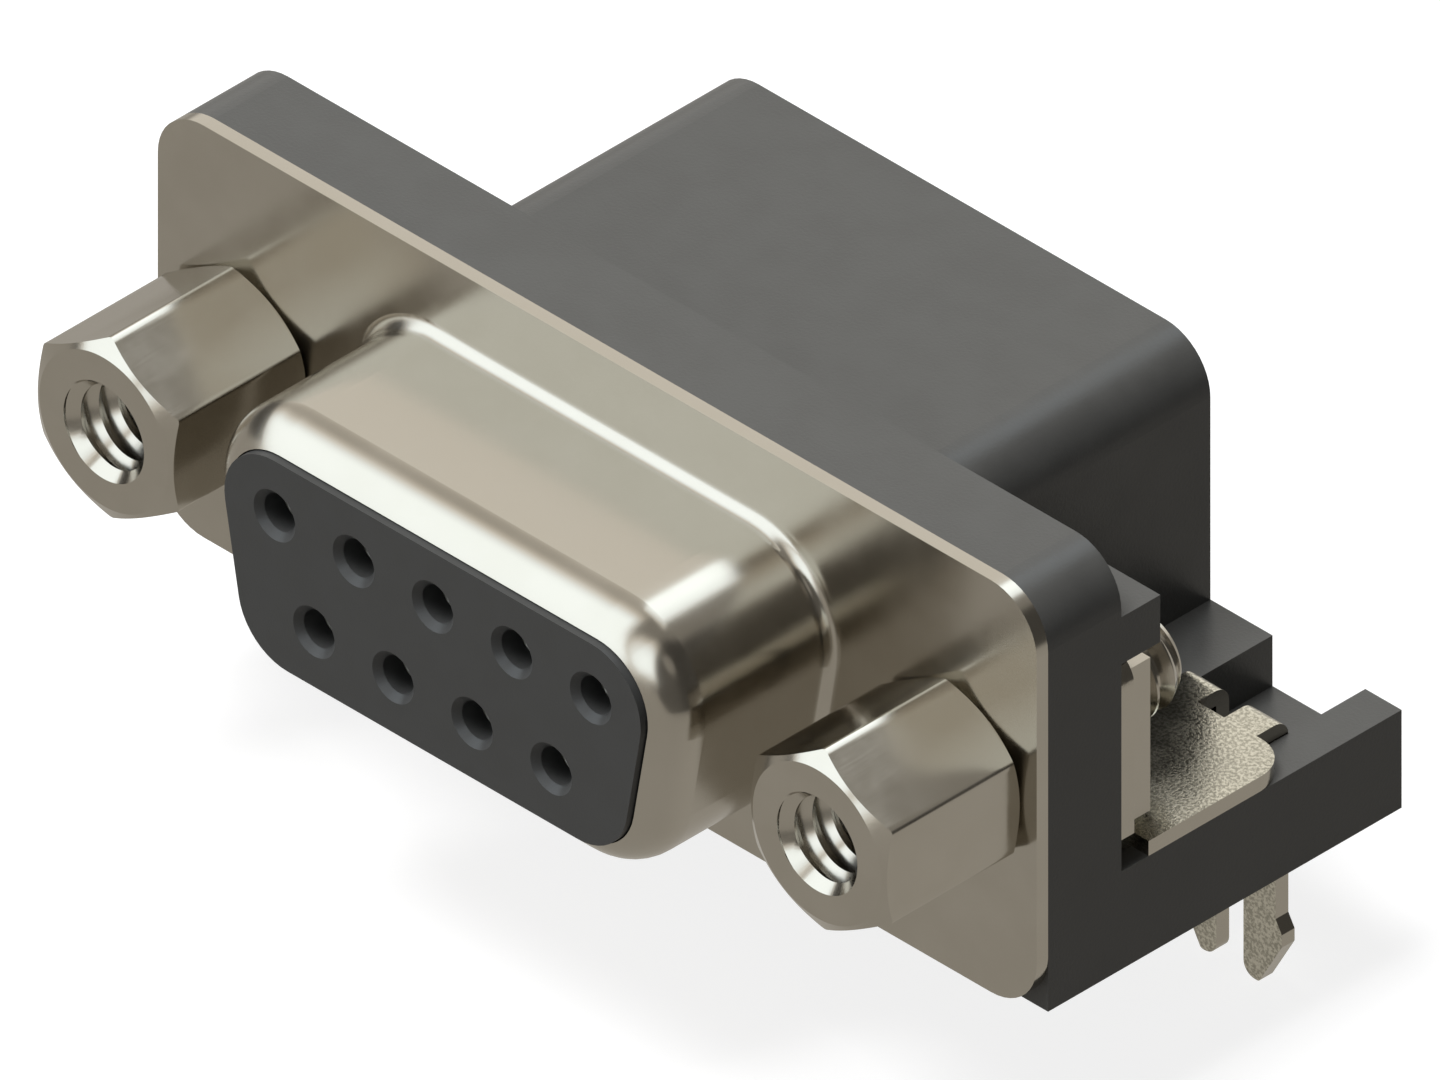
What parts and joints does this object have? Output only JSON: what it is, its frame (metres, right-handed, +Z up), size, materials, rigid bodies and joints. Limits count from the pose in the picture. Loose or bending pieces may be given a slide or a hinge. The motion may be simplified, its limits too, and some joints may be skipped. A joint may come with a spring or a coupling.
{
  "type": "d-sub connector",
  "caption": "Right-angle board connector with a D-shaped metal nose of socket contacts, hexagonal jackscrews beside it, a plastic housing, straight solder tails and forked board locks.",
  "frame": {"origin": "on the board plane, below the middle of the front face of the metal flange", "axes": "+X to the right as seen from the mating side, +Y to the rear over the board, +Z up from the board; the mating side faces -Y"},
  "size_m": [0.0308, 0.0186, 0.0172],
  "materials": {
    "shell_nickel": "satin nickel plate",
    "jackscrew_nickel": "bright nickel plate",
    "bracket_tinned": "tin plate",
    "contact_tinned": "plated, satin",
    "housing_plastic": "matte",
    "insulator_plastic": "matte"
  },
  "bodies": {
    "root": {"front_shell": "shell_nickel", "front_insulator": "insulator_plastic", "rear_housing": "housing_plastic", "tail_spacer": "insulator_plastic", "contact_1": "contact_tinned", "contact_2": "contact_tinned", "contact_3": "contact_tinned", "contact_4": "contact_tinned", "contact_5": "contact_tinned", "contact_6": "contact_tinned", "contact_7": "contact_tinned", "contact_8": "contact_tinned", "contact_9": "contact_tinned", "boardlock_left": "bracket_tinned", "boardlock_right": "bracket_tinned", "nut_plate_left": "jackscrew_nickel", "nut_plate_right": "jackscrew_nickel"},
    "jackscrew_left": {"jackscrew_left": "jackscrew_nickel"},
    "jackscrew_right": {"jackscrew_right": "jackscrew_nickel"}
  },
  "joints": [
    {"name": "jackscrew_left_out", "type": "slide", "parent": "root", "child": "jackscrew_left", "axis": [0, -1, 0], "range_m": [0, 0.0038]},
    {"name": "jackscrew_right_out", "type": "slide", "parent": "root", "child": "jackscrew_right", "axis": [0, -1, 0], "range_m": [0, 0.0038]}
  ]
}
